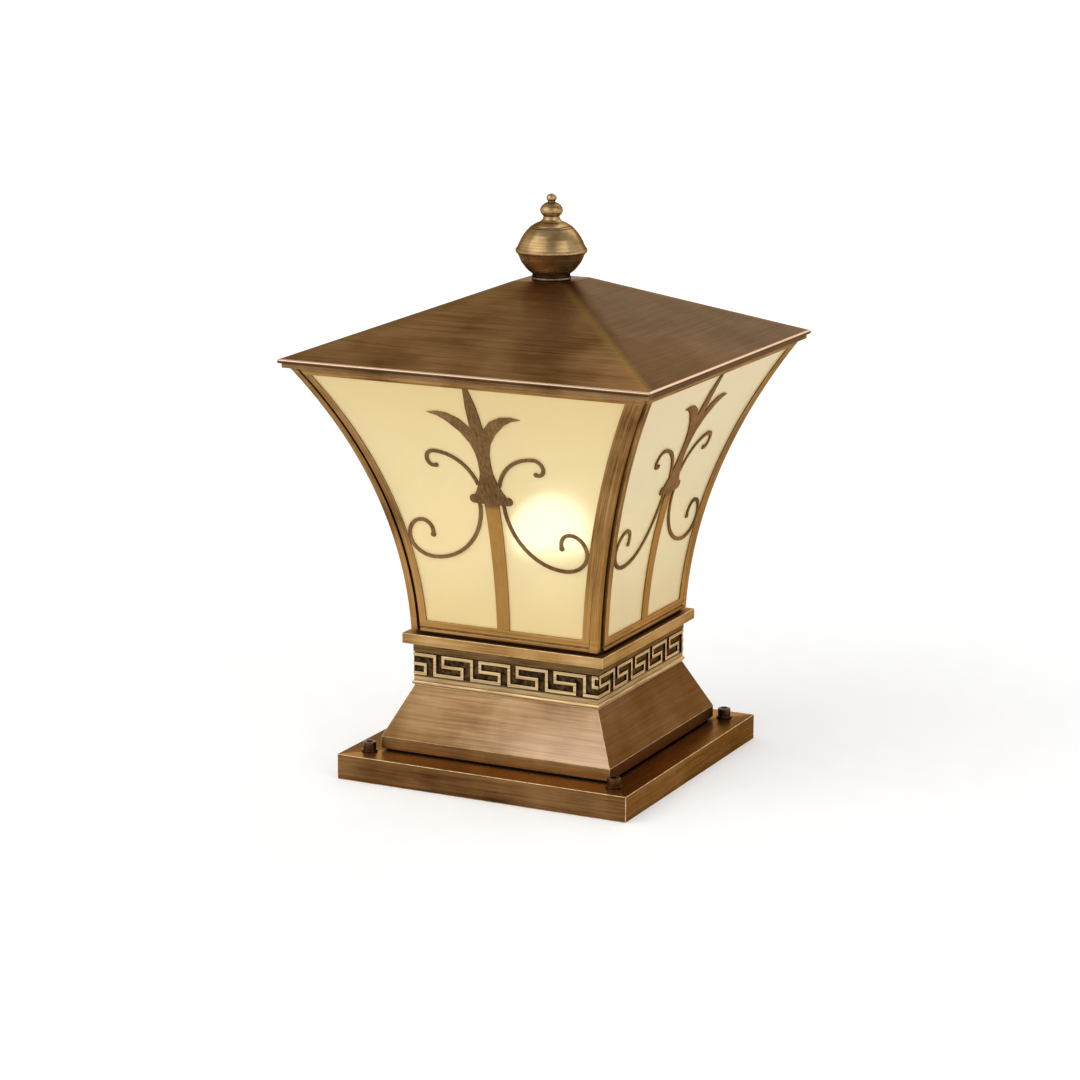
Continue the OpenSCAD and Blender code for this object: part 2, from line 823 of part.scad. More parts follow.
// Hollow turned shell from an outline, closed to the spindle on one side
module turned_shell(line, z, wall, web_at_foot) {
    n = len(line);
    inner = [for (i = [n - 1:-1:0]) [line[i][0] - wall, line[i][1]]];
    translate([0, 0, z])
        rotate_extrude() {
            polygon(concat(line, inner));
            if (web_at_foot)
                translate([spindle_r + 0.05, 0]) square([line[0][0] - spindle_r - 0.5, wall]);
            else
                translate([spindle_r + 0.05, line[n - 1][1] - wall])
                    square([line[n - 1][0] - spindle_r - 0.5, wall]);
        }
}

module finial_bowl() color("peru") {
    turned_shell(bowl_line, bowl_z, finial_wall, true);
}

module finial_band() color("goldenrod") {
    translate([0, 0, band_z])
        rotate_extrude()
            polygon([
                [finial_r - 5, 0], [finial_r - 1.7, 0], [finial_r - 1.4, 0.9], [finial_r - 0.6, 1.5],
                [finial_r, 2.6], [finial_r, 3.9], [finial_r - 0.5, band_h], [finial_r - 5, band_h]
            ]);
}

module finial_dome() color("peru") {
    turned_shell(dome_line, dome_z, finial_wall, false);
}

// Outline of the turned knob: a ringed cone, a neck, a ball and a small tip
knob_foot_r = finial_r - 10.9;
ball_h = 0.73*knob_r;
ball_z = 6.9 + ball_h;
tip_h = 0.84*tip_r;
tip_z = ball_z + ball_h + 2.8;
knob_h = tip_z + tip_h;
knob_line = concat(
    [[knob_foot_r - 0.4, 0], [knob_foot_r, 0.5], [knob_foot_r - 0.7, 1.2], [knob_foot_r - 2, 1.5]],
    [[knob_foot_r - 2.1, 2], [knob_foot_r - 3.4, 2.8], [knob_foot_r - 4.5, 3.4]],
    [[knob_foot_r - 6, 4.1], [knob_foot_r - 7.8, 4.8], [knob_foot_r - 9.2, 6.2]],
    arc([0, ball_z], knob_r, ball_h, -46, 56, 12),
    [[tip_r - 1.1, ball_z + ball_h - 0.1], [tip_r - 1.4, ball_z + ball_h + 0.8]],
    arc([0, tip_z], tip_r, tip_h, -40, 88, 10)
);

module finial_knob() color("goldenrod") {
    translate([0, 0, knob_z])
        rotate_extrude()
            polygon(concat([[0, 0]], knob_line, [[0, knob_h]]));
}

// Lampholder and bulb

module lampholder_bracket() color("silver") {
    leg_top = ring_z - sheet_t;
    w = bracket_w;
    difference() {
        union() {
            translate([-bracket_leg_x, -w/2, bracket_z]) cube([2*bracket_leg_x, w, bracket_t]);
            for (s = [-1, 1]) {
                translate([s*(bracket_leg_x - bracket_t/2) - bracket_t/2, -w/2, bracket_z])
                    cube([bracket_t, w, leg_top - bracket_z]);
                translate([s*(bracket_leg_x + 8) - 9, -w/2, leg_top - bracket_t])
                    cube([18, w, bracket_t]);
            }
        }
        translate([0, 0, bracket_z - 1]) cylinder(r = 9, h = bracket_t + 2);
        for (s = [-1, 1]) {
            translate([s*holder_screw_x, 0, bracket_z - 1]) cylinder(r = 2.1, h = bracket_t + 2);
            translate([s*foot_screw_x, 0, leg_top - bracket_t - 1])
                cylinder(r = 2.2, h = bracket_t + 2);
        }
    }
}

module bracket_screws() color("silver") {
    for (s = [-1, 1]) {
        translate([s*foot_screw_x, 0, ring_z]) pan_screw(sheet_t + bracket_t + 4);
        translate([s*foot_screw_x, 0, ring_z - sheet_t - bracket_t - 3.2]) hex_nut(7, 3.2, 2);
        translate([s*holder_screw_x, 0, bracket_z]) mirror([0, 0, 1]) pan_screw(bracket_t + 4);
    }
}

module lampholder() color("white") {
    bore = shell_r + shell_t + fit;
    difference() {
        union() {
            translate([0, 0, holder_z]) cylinder(r = holder_r, h = 14);
            translate([0, 0, holder_z + 14]) cylinder(r = holder_r - 2, h = holder_h - 18);
            translate([0, 0, holder_z + holder_h - 4]) cylinder(r = holder_r - 1, h = 4);
        }
        translate([0, 0, contact_z - 2.6]) cylinder(r = bore, h = holder_h);
        translate([0, 0, holder_z + holder_h - mouth_h]) cylinder(r = bore + mouth_gap, h = mouth_h + 1);
        for (s = [-1, 1]) {
            translate([s*holder_screw_x, 0, holder_z - 1]) cylinder(r = 2, h = 6);
            translate([s*6, 0, holder_z - 1]) cylinder(r = 1.6, h = 5);
        }
    }
}

module lampholder_shell() color("goldenrod") {
    tube_ring(shell_r, shell_r + shell_t, shell_z, shell_h);
}

module lampholder_contact() color("goldenrod") {
    translate([-9, -3, contact_z - 2.5]) cube([18, 6, 0.6]);
    translate([0, 0, contact_z - 1.95]) cylinder(r = 3, h = 1.85);
}

module bulb_cap() color("silver") {
    tube_ring(cap_r - 0.6, cap_r, cap_z + 5, cap_h - 5);
    translate([0, 0, cap_z])
        difference() {
            cylinder(r1 = 5, r2 = cap_r, h = 5);
            translate([0, 0, 1.2]) cylinder(r1 = 5, r2 = cap_r - 0.6, h = 4);
        }
}

module bulb_contact() color("silver") {
    translate([0, 0, contact_z]) cylinder(r = 4.6, h = contact_t - 0.1);
}

// Half outline of the bulb's glass, set in by a wall: neck, shoulder and globe
module bulb_half(wall) {
    foot = cap_z + cap_h + wall;
    neck_r = cap_r + 0.9 - wall;
    intersection() {
        union() {
            translate([0, globe_z]) circle(globe_r - wall);
            polygon([
                [0, foot], [neck_r, foot], [neck_r + 1.6, foot + 8],
                [globe_r*0.76 - wall, globe_z - globe_r*0.62], [0, globe_z]
            ]);
        }
        square([2*globe_r, globe_z + 2*globe_r]);
    }
}

module bulb_envelope() color("ivory") {
    difference() {
        rotate_extrude() bulb_half(0);
        rotate_extrude() bulb_half(1.2);
    }
}

// Wiring

grommet_h = 8;

module cable_grommet() color("black") {
    mid = base_h - base_t/2;
    rim = grommet_h/2 - base_t/2 - 0.05;
    difference() {
        union() {
            translate([0, 0, mid - grommet_h/2]) cylinder(r = plate_hole_r + 3, h = rim);
            translate([0, 0, mid - base_t/2 - 0.1]) cylinder(r = plate_hole_r - 0.05, h = base_t + 0.2);
            translate([0, 0, mid + base_t/2 + 0.05]) cylinder(r = plate_hole_r + 3, h = rim);
        }
        translate([0, 0, mid - grommet_h/2 - 1]) cylinder(r = inlet_r, h = grommet_h + 2);
    }
}

module terminal_block() color("ivory") {
    difference() {
        translate([block_x - block_w/2, -block_l/2, base_h]) cube([block_w, block_l, block_h]);
        for (i = [-1:1]) {
            translate([block_x - 4, block_pitch*i, base_h + block_h - 5]) cylinder(r = 2.2, h = 6);
            translate([block_x + 4, block_pitch*i, base_h + block_h - 5]) cylinder(r = 2.2, h = 6);
            translate([block_x - block_w/2 - 1, block_pitch*i, base_h + block_hole_z])
                rotate([0, 90, 0]) cylinder(r = 2, h = block_w + 2);
        }
    }
}

module earth_screw() color("goldenrod") {
    translate([block_x, earth_y, base_h]) hex_nut(8, 1.6, ring_screw_r + 0.1);
    translate([block_x, earth_y, base_h + 1.6]) pan_screw(base_t + 4);
}

// Frame of a wire's ring i: two directions square to the path
function wire_dir(p, i) =
    let (d = p[min(i + 1, len(p) - 1)] - p[max(i - 1, 0)]) d/norm(d);
function wire_side(p, i) =
    let (c = cross(wire_dir(p, i), abs(wire_dir(p, i)[1]) > 0.9 ? [1, 0, 0] : [0, 1, 0])) c/norm(c);

// Tube of eight sides through a list of points
module wire(p, r) {
    n = len(p);
    sides = 8;
    pts = [
        for (i = [0:n - 1])
            let (u = wire_side(p, i), v = cross(wire_dir(p, i), u))
                for (j = [0:sides - 1]) p[i] + r*(u*cos(360*j/sides) + v*sin(360*j/sides))
    ];
    walls = [
        for (i = [0:n - 2], j = [0:sides - 1])
            let (a = i*sides + j, b = i*sides + (j + 1) % sides)
                each [[a, a + sides, b], [b, a + sides, b + sides]]
    ];
    first = [for (i = [1:sides - 2]) [0, i, i + 1]];
    m = (n - 1)*sides;
    last = [for (i = [1:sides - 2]) [m, m + i + 1, m + i]];
    polyhedron(points = pts, faces = concat(walls, first, last), convexity = 4);
}

wire_r = 1.4;
live_path = [
    [-35.8, -11, 24], [-31, -11, 24.4], [-27, -10.6, 26], [-24, -9.6, 30], [-21, -8, 38],
    [-17, -5.6, 48], [-13, -3.4, 58], [-9, -1.6, 68], [-6.6, -0.4, 76], [-6, 0, 82], [-6, 0, 88.6]
];
neutral_path = [
    [-35.8, 0, 24], [-30, 0, 24.6], [-25, 0.8, 27], [-20, 2, 32], [-14, 3.2, 40],
    [-7, 3.6, 50], [0, 2.8, 60], [4.6, 1.2, 70], [5.8, 0.3, 77], [6, 0, 82], [6, 0, 88.6]
];
earth_path = [
    [-35.8, 11, 24], [-32, 11.4, 24.2], [-29, 13.4, 24.6], [-27.6, 18, 25], [-28, 24, 24.8],
    [-30.4, 30, 24.2], [-34, 34.6, 23.4], [-38, 37.6, 22.9], [-42.2, 39.6, 22.8]
];

module wire_live() color("saddlebrown") {
    wire(live_path, wire_r);
}

module wire_neutral() color("royalblue") {
    wire(neutral_path, wire_r);
}

module wire_earth() color("yellowgreen") {
    wire(earth_path, wire_r);
}

base_plate();
mounting_screws();
screw_washers();
base_gasket();
skirt();
frieze_core();
frieze_strip(0);  // frieze_strip_front
frieze_strip(1);  // frieze_strip_right
frieze_strip(2);  // frieze_strip_back
frieze_strip(3);  // frieze_strip_left
collar();
lantern_ring();
corner_post(0);  // corner_post_1
corner_post(1);  // corner_post_2
corner_post(2);  // corner_post_3
corner_post(3);  // corner_post_4
panel_frame(0);  // panel_frame_front
panel_frame(1);  // panel_frame_right
panel_frame(2);  // panel_frame_back
panel_frame(3);  // panel_frame_left
glass_panel(0);  // glass_front
glass_panel(1);  // glass_right
glass_panel(2);  // glass_back
glass_panel(3);  // glass_left
ornament(0);  // ornament_front
ornament(1);  // ornament_right
ornament(2);  // ornament_back
ornament(3);  // ornament_left
glass_clips();
top_ring();
top_ring_screws();
crossbar();
crossbar_screws();
roof_stud();
stud_nuts();
roof();
roof_seat();
finial_washer();
finial_spindle();
finial_neck();
finial_bowl();
finial_band();
finial_dome();
finial_knob();
tie_rods();
tie_nuts();
lampholder_bracket();
bracket_screws();
lampholder();
lampholder_shell();
lampholder_contact();
bulb_cap();
bulb_contact();
bulb_envelope();
cable_grommet();
terminal_block();
wire_live();
wire_neutral();
wire_earth();
earth_screw();
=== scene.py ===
import math

import bpy
from mathutils import Matrix, Vector


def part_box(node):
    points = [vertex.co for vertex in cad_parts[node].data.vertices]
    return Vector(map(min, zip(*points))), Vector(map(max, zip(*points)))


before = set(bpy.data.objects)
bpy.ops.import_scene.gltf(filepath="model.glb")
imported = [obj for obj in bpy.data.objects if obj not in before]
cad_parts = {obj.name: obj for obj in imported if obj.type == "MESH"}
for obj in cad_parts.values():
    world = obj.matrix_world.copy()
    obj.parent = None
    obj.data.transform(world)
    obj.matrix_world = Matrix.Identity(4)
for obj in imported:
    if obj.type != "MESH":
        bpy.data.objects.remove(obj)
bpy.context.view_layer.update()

MM = 0.001
WHITE = (1.0, 1.0, 1.0, 1.0)
SIDES = ("front", "right", "back", "left")
CORNERS = "1234"

# Camera, from the photograph's perspective: degrees, metres, and millimetres for lens and sensor
CAMERA_AZIMUTH = 26.127
CAMERA_ELEVATION = 13.152
CAMERA_DISTANCE = 2.46413
CAMERA_TARGET_Z = 0.172942
CAMERA_YAW = 0.188
CAMERA_ROLL = 0.154
CAMERA_LENS = 108.014
CAMERA_SENSOR = 36.0
CAMERA_NEAR = 0.05
CAMERA_FAR = 100.0

# Square lights that face the lantern: azimuth and elevation, distance, size and watts
SOFTBOXES = {
    "key_softbox": (-32, 34, 2.2, 2.2, 19),
    "right_softbox": (70, 30, 2.6, 1.6, 10),
    "back_softbox": (170, 48, 2.6, 2.0, 12),
}
SOFTBOX_AIM = Vector((0, 0, 0.2))

# Light of the world: weak (LOW) on one side, strong (HIGH) on the bright one, and where it changes
WORLD_BRIGHT = Vector((-0.55, -0.70, 0.45))
WORLD_LOW = 0.34
WORLD_HIGH = 0.80
WORLD_FADE = (-0.6, 0.95)

# What eye and reflections see of it: white near the horizon, and darker high up
SKY_WHITE = 1.0
SKY_TOP = 0.42
SKY_FADE = (0.22, 0.85)

# Floor: it glows a little to the eye, more so at a distance from the lantern
FLOOR_SIZE = 60.0
FLOOR_GAP = 0.2 * MM
FLOOR_NEAR = 0.26
FLOOR_FAR = 0.62
FLOOR_FADE = (0.4, 3.5)
FLOOR_GREYS = ((0.83, 0.83, 0.83, 1), (0.86, 0.86, 0.86, 1))

# Curve of the lantern's sides: each is an arc centred outside its own side
LANTERN_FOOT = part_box("panel_frame_front")[0].z
LANTERN_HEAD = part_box("panel_frame_front")[1].z
FOOT_HALF = 79.05 * MM
ARC_R = 418 * MM
ARC_Z = LANTERN_FOOT - 18.9 * MM
ARC_X = FOOT_HALF + math.sqrt(ARC_R ** 2 - (LANTERN_FOOT - ARC_Z) ** 2)
WINDOW_LOW = LANTERN_FOOT + 8.8 * MM
WINDOW_HIGH = LANTERN_HEAD - 4.4 * MM

# Frieze, from its foot up: a bead, a rail, a line of painted shade and the key pattern
FRIEZE_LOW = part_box("frieze_strip_front")[0].z
BEAD_TOP = FRIEZE_LOW + 4.1 * MM
KEY_LOW = FRIEZE_LOW + 8.7 * MM
KEY_HIGH = KEY_LOW + 17.6 * MM
RAIL_TOP = KEY_LOW - 0.6 * MM
LINE_LOW = KEY_LOW - 1.5 * MM
FRIEZE_HALF = 77.3 * MM
FIELD_HALF = FRIEZE_HALF - 0.3 * MM

# Cup and stem of the ornaments, and slope of the skirt
CUP_Z = LANTERN_FOOT + 107 * MM
STEM_HALF = 6 * MM
SKIRT_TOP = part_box("skirt")[1].z
SKIRT_LIP = SKIRT_TOP - 38.1 * MM

# Bead along the eaves of the roof
ROOF_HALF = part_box("roof")[1].x
EAVES_HALF = ROOF_HALF - 2.0 * MM
EAVES_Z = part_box("roof")[0].z + 5.1 * MM
EAVES_MIDDLE = EAVES_Z + 0.5 * MM
EAVES_SHINE = EAVES_Z + 0.9 * MM

# Centre of the bulb's globe, and the heights between which its light rises to the full
GLOBE_R = 30 * MM
GLOBE_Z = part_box("bulb_envelope")[1].z - GLOBE_R
LAMP_FADE = (GLOBE_Z - 22 * MM, GLOBE_Z + 4 * MM)

# Where wear, patina and painted light begin and end: distance from the hips, height, or distance to
# the right
FLANK_FADE = (-0.5 * MM, 0.5 * MM)
HIP_FADE = (1.5 * MM, 9 * MM)
FOOT_FADE = (LANTERN_FOOT + 20 * MM, LANTERN_FOOT + 130 * MM)
STEM_FADE = (CUP_Z - 4 * MM, CUP_Z)
SHEEN_FADE = (-70 * MM, 110 * MM)
SLOPE_SHADE_FADE = (-100 * MM, -20 * MM)
GLASS_FOOT_FADE = (WINDOW_LOW, WINDOW_LOW + 45 * MM)
GLASS_HEAD_FADE = (WINDOW_HIGH - 60 * MM, WINDOW_HIGH)

# Least upward part of a normal on a top face
FACING_UP = 0.9

# Grain of the brushed metal: waves to the metre along it and across it
ALONG = 16.0
ACROSS = 620.0
LATHE_ACROSS = 1.6 * ACROSS

# Shares of broad streaks, fine hairs and cloudy patina in a metal's tone, depth of the hairs in its
# bumps, and the average of a noise, which stands in for what the shares leave of 1
STREAK_SHARE = 0.52
HAIR_SHARE = 0.22
CLOUD_SHARE = 0.46
HAIR_DEPTH = 0.5
NOISE_MEAN = 0.5

# How metallic the sheets, the frieze and the edges are, the edges being rubbed bright and painted as
# highlights
METALLIC = 0.94
FRIEZE_METALLIC = 0.92
RUBBED_HIGHLIT_METALLIC = 0.85

# Limits that hold nearly all of a noise, and places of the tones on a colour ramp over it
NOISE_LIMITS = (0.3, 0.7)
METAL_PLACES = (0.36, 0.5, 0.66)
BAND_PLACES = (0.3, 0.5, 0.7)
FIELD_PLACES = (0.35, 0.5, 0.66)
RUBBED_HIGHLIT_PLACES = (0.35, 0.62)

# Grooves and inner corners are darkened, as patina and painted shade: reach of the test for open
# sky, and the shares of it that mean closed and open. The key pattern has its own
CREVICE_SAMPLES = 6
CREVICE_REACH = 4 * MM
CREVICE_FADE = (0.35, 0.98)
# Painted shade in the hollows of the key pattern
KEY_REACH = 3.2 * MM
KEY_FADE = (0.3, 0.95)
KEY_SHADE = 0.12

# Glow of the panels, what they let through and how they bend it, and strength of the lamp
GLASS_GLOW = 0.13
GLASS_CLEAR = 0.22
GLASS_IOR = 1.35
BULB_GLOW = 30.0
BULB_NECK_GLOW = 0.04 * BULB_GLOW

# Softened edges: reach of the weld, and the angles below which faces count as flat or as smooth
WELD_REACH = 0.002 * MM
FLAT_ANGLE = math.radians(0.2)
SMOOTH_ANGLE = math.radians(32)
BEVEL_SEGMENTS = 2


def srgb(r, g, b):
    """Linear colour of an sRGB colour given from 0 to 255."""
    def linear(v):
        v /= 255
        return v / 12.92 if v <= 0.04045 else ((v + 0.055) / 1.055) ** 2.4
    return (linear(r), linear(g), linear(b), 1.0)


def darker(colour, share):
    """Linear colour scaled down to a share of itself."""
    return tuple(share * c for c in colour[:3]) + (1.0,)


# Dark, middle and light tone of each metal
ROOF_TONES = (srgb(88, 58, 34), srgb(122, 92, 62), srgb(150, 120, 86))
# The base plate's tones are kept darker as painted shade, for the shaded floor that its sides mirror
BASE_SHADE_TONES = (srgb(68, 42, 20), srgb(110, 76, 42), srgb(140, 104, 66))
SKIRT_TONES = (srgb(98, 70, 40), srgb(132, 101, 64), srgb(160, 130, 94))
COLLAR_TONES = (srgb(132, 94, 50), srgb(172, 134, 80), srgb(200, 164, 112))
FRAME_TONES = (srgb(88, 60, 30), srgb(144, 106, 60), srgb(178, 138, 88))
FINIAL_TONES = (srgb(118, 88, 48), srgb(168, 138, 96), srgb(204, 176, 134))
# The finial's neck: a darker copy of the finial's metal, as painted shade
NECK_SHADE_TONES = (srgb(24, 16, 10), srgb(38, 26, 16), srgb(62, 46, 28))
ORNAMENT_TONES = (srgb(92, 66, 40), srgb(124, 94, 60), srgb(152, 120, 80))
RAISED_TONES = (srgb(164, 132, 88), srgb(202, 172, 124), srgb(226, 198, 150))
BAND_TONES = (srgb(72, 50, 28), srgb(102, 76, 44), srgb(128, 100, 62))
FIELD_TONES = (srgb(28, 18, 10), srgb(58, 42, 24), srgb(86, 68, 40))

# Colours of wear, patina and painted light (reflections, sheens, highlights and shade), and how much
# of the metal's own colour each covers
# Painted reflection: the roof's left and right sides turn greyer, as if mirroring a dim grey
# surround
ROOF_FLANK_REFLECTION, ROOF_REFLECTION_SHARE = srgb(70, 62, 56), 0.78
HIP_OLIVE, HIP_SHARE = srgb(134, 108, 58), 0.55
# Painted shade: browner flanks
FLANK_SHADE, FLANK_SHADE_SHARE = srgb(92, 52, 22), 0.62
FOOT_GOLD, FOOT_SHARE = srgb(196, 146, 78), 0.42
STEM_GOLD, STEM_SHARE = srgb(190, 142, 72), 0.6
# Painted sheen and painted shade on the skirt's front and back
SLOPE_SHEEN, SHEEN_SHARE = srgb(206, 178, 156), 0.46
SLOPE_SHADE, SLOPE_SHADE_SHARE = srgb(96, 66, 38), 0.5
PLATE_GOLD, PLATE_SHARE = srgb(180, 138, 84), 0.8
# Top of the eaves' bead: rubbed bright and a painted highlight
EAVES_WEAR_HIGHLIGHT = srgb(236, 206, 178)
RAIL_SHARE = 0.7

# What is left of a colour in the painted shade under the eaves' bead and in the frieze's line, and
# of the painted sheen at the top of the skirt
EAVES_SHADE = 0.34
LINE_SHADE = 0.3
SHEEN_TOP = 0.35

# Colour of brown metal seen at a grazing angle, and a darker one that paints dark reflections on the
# finial's rims
EDGE_TINT = (0.80, 0.58, 0.42, 1.0)
RIM_SHADE_TINT = (0.22, 0.15, 0.09, 1.0)

# Frosted panels: middle, ends, clouds and surface, with their shares. Bulb: its glass and its light
GLASS_MIDDLE = srgb(235, 214, 154)
# Painted light: the glow and tint turn deeper yellow towards the foot and head of each panel, away
# from the bulb
GLASS_ENDS, ENDS_SHARE, HEAD_SHARE = srgb(232, 200, 122), 0.6, 0.8
GLASS_CLOUD, GLASS_CLOUD_SHARE = srgb(240, 226, 184), 0.3
GLASS_SURFACE, SURFACE_SHARE = srgb(246, 242, 226), 0.12
OPAL_TONES = (srgb(250, 244, 230), srgb(255, 252, 244))
LAMP_LIGHT = srgb(208, 224, 255)


class Nodes:
    """A node tree, with short calls that add a node and return its output."""

    # Inputs A and B of a Mix node, and its output, for each type of data
    MIX_SOCKETS = {"FLOAT": (2, 3, 0), "VECTOR": (4, 5, 1), "RGBA": (6, 7, 2)}

    def __init__(self, tree):
        self.tree = tree
        tree.nodes.clear()

    def feed(self, socket, value):
        """Links an output to a socket, or sets the socket's own value."""
        if isinstance(value, bpy.types.NodeSocket):
            self.tree.links.new(value, socket)
        else:
            socket.default_value = value

    def add(self, kind, *inputs, **settings):
        """Adds a node, with its settings and what its first inputs get, and returns it."""
        made = self.tree.nodes.new("ShaderNode" + kind)
        for key, value in settings.items():
            setattr(made, key, value)
        for socket, value in zip(made.inputs, inputs):
            self.feed(socket, value)
        return made

    def fill(self, node, **values):
        """Feeds a node's inputs by name, and returns the node. Underscores stand for spaces."""
        for key, value in values.items():
            self.feed(node.inputs[key.replace("_", " ")], value)
        return node

    def math(self, operation, *values, clamp=False):
        return self.add("Math", *values, operation=operation, use_clamp=clamp).outputs[0]

    def product(self, a, b):
        return self.math("MULTIPLY", a, b)

    def sum(self, a, b):
        return self.math("ADD", a, b)

    def size(self, value):
        """A value without its sign."""
        return self.math("ABSOLUTE", value)

    def rest(self, share):
        """What a share leaves of 1."""
        return self.math("SUBTRACT", 1.0, share)

    def above(self, value, limit):
        """1 where a value is above a limit, 0 elsewhere."""
        return self.math("GREATER_THAN", value, limit)

    def below(self, value, limit):
        """1 where a value is below a limit, 0 elsewhere."""
        return self.math("LESS_THAN", value, limit)

    def within(self, value, low, high):
        """1 where a value is between two limits, 0 elsewhere."""
        return self.product(self.above(value, low), self.below(value, high))

    def radius(self, x, y):
        """Distance from the axis."""
        return self.math("SQRT", self.sum(self.product(x, x), self.product(y, y)))

    def split(self, vector):
        """The three coordinates of a vector."""
        return tuple(self.add("SeparateXYZ", vector).outputs)

    def scaled(self, coordinates, scales):
        """Vector of three coordinates, each multiplied by its own scale."""
        values = [self.product(value, scale) for value, scale in zip(coordinates, scales)]
        return self.add("CombineXYZ", *values).outputs[0]

    def noise(self, vector, scale=1.0, detail=3.0, roughness=0.6):
        """Noise from about 0.3 to 0.7, as fine as its scale to the metre."""
        made = self.add("TexNoise")
        self.fill(made, Vector=vector, Scale=scale, Detail=detail, Roughness=roughness)
        return made.outputs[0]

    def between(self, value, low, high, to_low=0.0, to_high=1.0):
        """Smooth step of a value between two limits."""
        limits = (low, high, to_low, to_high)
        return self.add("MapRange", value, *limits, interpolation_type="SMOOTHSTEP").outputs[0]

    def blend(self, kind, share, a, b):
        """Mix node of one type of data, which turns from a to b with the share."""
        made = self.add("Mix", share, data_type=kind)
        first, second, output = self.MIX_SOCKETS[kind]
        self.feed(made.inputs[first], a)
        self.feed(made.inputs[second], b)
        return made, made.outputs[output]

    def mix(self, share, a, b):
        """Mix of two colours."""
        return self.blend("RGBA", share, a, b)[1]

    def pick(self, share, a, b):
        """Mix of two values."""
        return self.blend("FLOAT", share, a, b)[1]

    def turn(self, share, a, b):
        """Mix of two vectors."""
        return self.blend("VECTOR", share, a, b)[1]

    def times(self, colour, factor):
        """Colour multiplied by a grey value."""
        made, output = self.blend("RGBA", 1.0, colour, factor)
        made.blend_type = "MULTIPLY"
        return output

    def ramp(self, value, places, colours):
        """Colour ramp, with a colour at each place."""
        made = self.add("ValToRGB", value)
        elements = made.color_ramp.elements
        while len(elements) < len(places):
            elements.new(0.5)
        for element, place, colour in zip(elements, places, colours):
            element.position = place
            element.color = colour
        return made.outputs[0]

    def seen_directly(self):
        """1 for camera, glossy and transmission rays, 0 for the rays that carry light."""
        path = self.add("LightPath")
        level = path.outputs["Is Camera Ray"]
        for name in ("Is Glossy Ray", "Is Transmission Ray"):
            level = self.math("MAXIMUM", level, path.outputs[name])
        return level


class Shader(Nodes):
    """Node material with one principled surface, in the coordinates of the object."""

    def __init__(self, name):
        self.material = bpy.data.materials.new(name)
        self.material.use_nodes = True
        super().__init__(self.material.node_tree)
        self.surface = self.add("BsdfPrincipled")
        self.add("OutputMaterial", self.surface.outputs[0])
        coords = self.add("TexCoord")
        self.position = coords.outputs["Object"]
        self.normal = coords.outputs["Normal"]

    def set(self, **values):
        """Feeds the surface's own inputs by name."""
        self.fill(self.surface, **values)

    def polish(self, value, first, last):
        """Roughness that goes from one value to another as a noise value rises."""
        self.set(Roughness=self.between(value, *NOISE_LIMITS, first, last))

    def bump(self, height, depth, strength):
        """Bumps the surface by a noise value, to a depth in metres."""
        made = self.fill(self.add("Bump"), Height=height, Distance=depth, Strength=strength)
        self.set(Normal=made.outputs[0])

    def crevice(self, reach):
        """Share of open sky within reach: near 0 in grooves and inner corners."""
        made = self.add("AmbientOcclusion", samples=CREVICE_SAMPLES)
        return self.fill(made, Distance=reach).outputs["AO"]


def face_coordinates(s):
    """Distance along the nearest side, distance out from the axis, and height."""
    x, y, z = s.split(s.position)
    beside, before = s.size(x), s.size(y)
    along = s.pick(s.above(before, beside), y, x)
    return along, s.math("MAXIMUM", beside, before), z


def grain_round(s):
    """Grain parallel to the eaves on all four sides, meeting on the diagonals."""
    return s.scaled(face_coordinates(s), (ALONG, ACROSS, ACROSS))


def grain_frame(s):
    """Grain along each bar of a panel frame: up the side bars, across the rails."""
    along, out, z = face_coordinates(s)
    dz = s.math("SUBTRACT", z, ARC_Z)
    under = s.math("SUBTRACT", ARC_R ** 2, s.product(dz, dz))
    side = s.math("SUBTRACT", ARC_X, s.math("SQRT", s.math("MAXIMUM", under, 0.0)))
    inset = s.math("SUBTRACT", side, s.size(along))
    bar = s.scaled((inset, out, z), (ACROSS, ALONG, ALONG))
    rail = s.scaled((along, out, z), (ALONG, ALONG, ACROSS))
    return s.turn(s.within(z, WINDOW_LOW, WINDOW_HIGH), rail, bar)


def grain_turned(s):
    """Grain in rings round the axis, as on a lathe."""
    x, y, z = s.split(s.position)
    return s.scaled((s.radius(x, y), z, x), (ACROSS, LATHE_ACROSS, ALONG))


def grain_up(s):
    """Grain straight up."""
    return s.scaled(s.split(s.position), (ACROSS, ACROSS, ALONG))


def hip_distance(s):
    """How much farther a point is out to the left or right than to the front or back."""
    x, y, _ = s.split(s.position)
    return s.math("SUBTRACT", s.size(x), s.size(y))


def flank_share(s):
    """1 on the left and right sides, 0 on front and back."""
    return s.between(hip_distance(s), *FLANK_FADE)


def roof_marks(s, colour):
    """Flanks greyer as a painted reflection, olive hips, and a bead that is rubbed bright and
    painted with a highlight on top, and painted with shade underneath.
    """
    _, out, z = face_coordinates(s)
    colour = s.mix(s.product(flank_share(s), ROOF_REFLECTION_SHARE), colour, ROOF_FLANK_REFLECTION)
    hip = s.between(s.size(hip_distance(s)), *HIP_FADE, HIP_SHARE, 0.0)
    colour = s.mix(hip, colour, HIP_OLIVE)
    bead = s.above(out, EAVES_HALF)
    top = s.product(bead, s.between(z, EAVES_MIDDLE, EAVES_SHINE))
    under = s.product(bead, s.between(z, EAVES_Z, EAVES_MIDDLE, 1.0, 0.0))
    return s.times(s.mix(top, colour, EAVES_WEAR_HIGHLIGHT), s.pick(under, 1.0, EAVES_SHADE))


def shaded_flanks(s, colour):
    """Painted shade: browner and darker on the left and right sides than on front and back."""
    return s.mix(s.product(flank_share(s), FLANK_SHADE_SHARE), colour, FLANK_SHADE)


